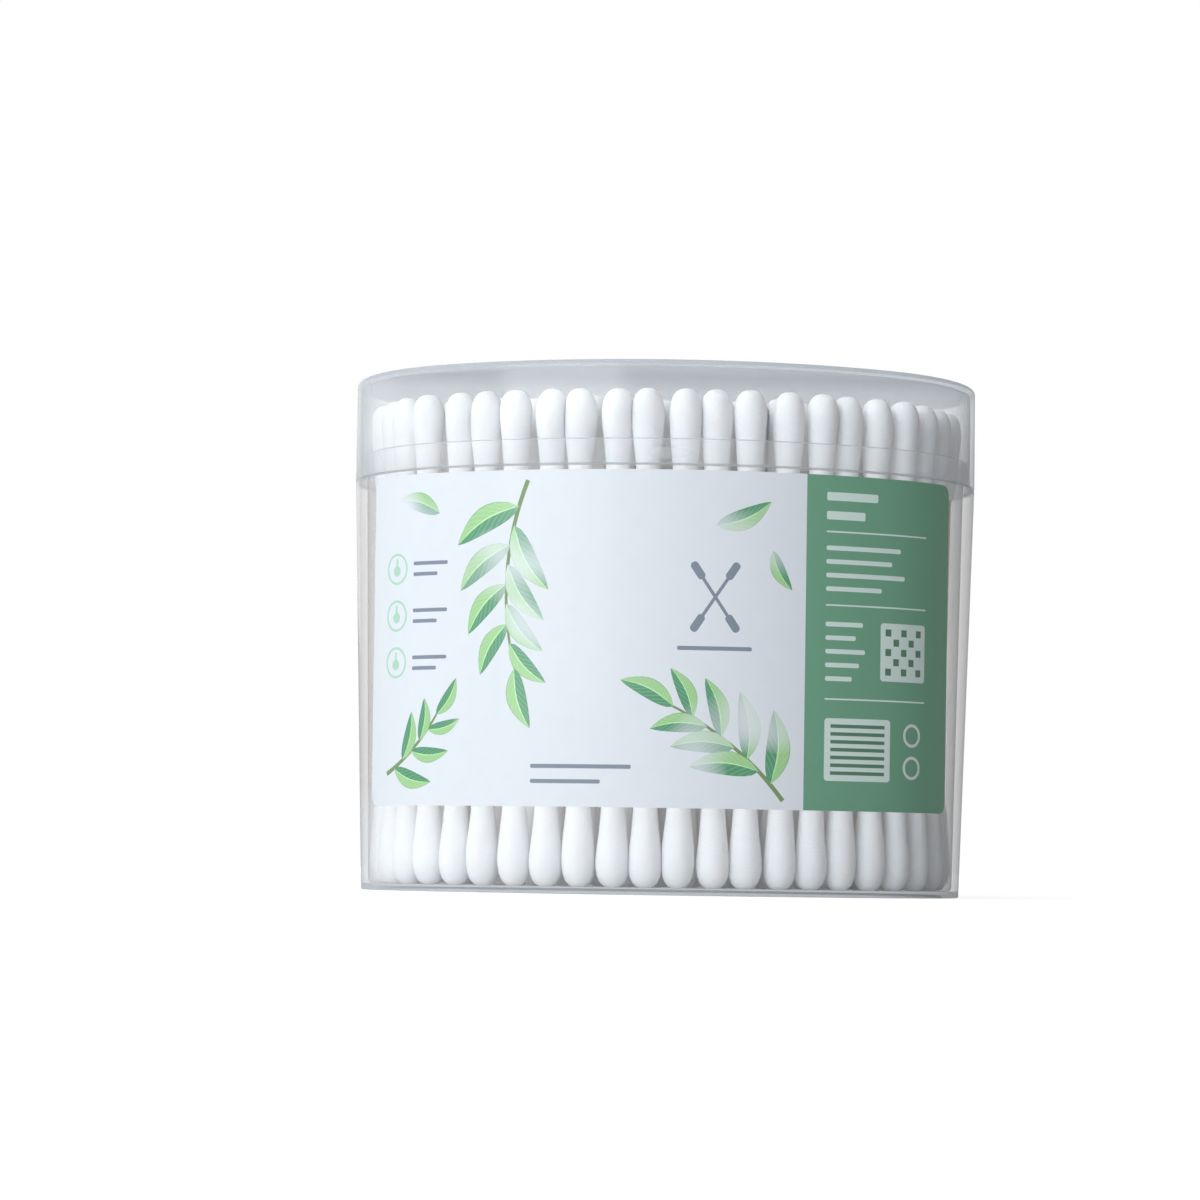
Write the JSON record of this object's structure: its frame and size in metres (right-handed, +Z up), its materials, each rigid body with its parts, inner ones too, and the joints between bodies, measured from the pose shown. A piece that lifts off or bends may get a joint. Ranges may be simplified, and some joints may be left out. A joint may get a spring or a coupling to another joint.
{
  "type": "cotton swab tub",
  "caption": "Oval clear-plastic tub with a lift-off lid and a wrap-round front label, filled with upright double-ended cotton swabs on bamboo sticks.",
  "frame": {"origin": "middle of the base, on the surface that the tub stands on", "axes": "+Z up, +X along the long side of the oval, -Y out of the labelled front"},
  "size_m": [0.096, 0.0701, 0.0783],
  "materials": {
    "tub_plastic": "clear, slightly hazy moulded plastic, glossy",
    "lid_plastic": "clear, slightly hazy moulded plastic, glossy",
    "label_paper": "white satin printed label with a green end panel",
    "bamboo": "plain sanded bamboo",
    "cotton": "white wound cotton, matte"
  },
  "bodies": {
    "tub_body": {"inner_1_sticks": "bamboo", "inner_1_tips": "cotton", "inner_2_sticks": "bamboo", "inner_2_tips": "cotton", "inner_3_sticks": "bamboo", "inner_3_tips": "cotton", "inner_4_sticks": "bamboo", "inner_4_tips": "cotton", "inner_5_sticks": "bamboo", "inner_5_tips": "cotton", "inner_6_sticks": "bamboo", "inner_6_tips": "cotton", "label": "label_paper", "outer_ring_sticks": "bamboo", "outer_ring_tips": "cotton", "tub": "tub_plastic"},
    "lid_body": {"lid": "lid_plastic"}
  },
  "joints": [
    {"name": "lid_lift", "type": "slide", "parent": "tub_body", "child": "lid_body", "axis": [0, 0, 1], "range_m": [0, 0.03]}
  ]
}
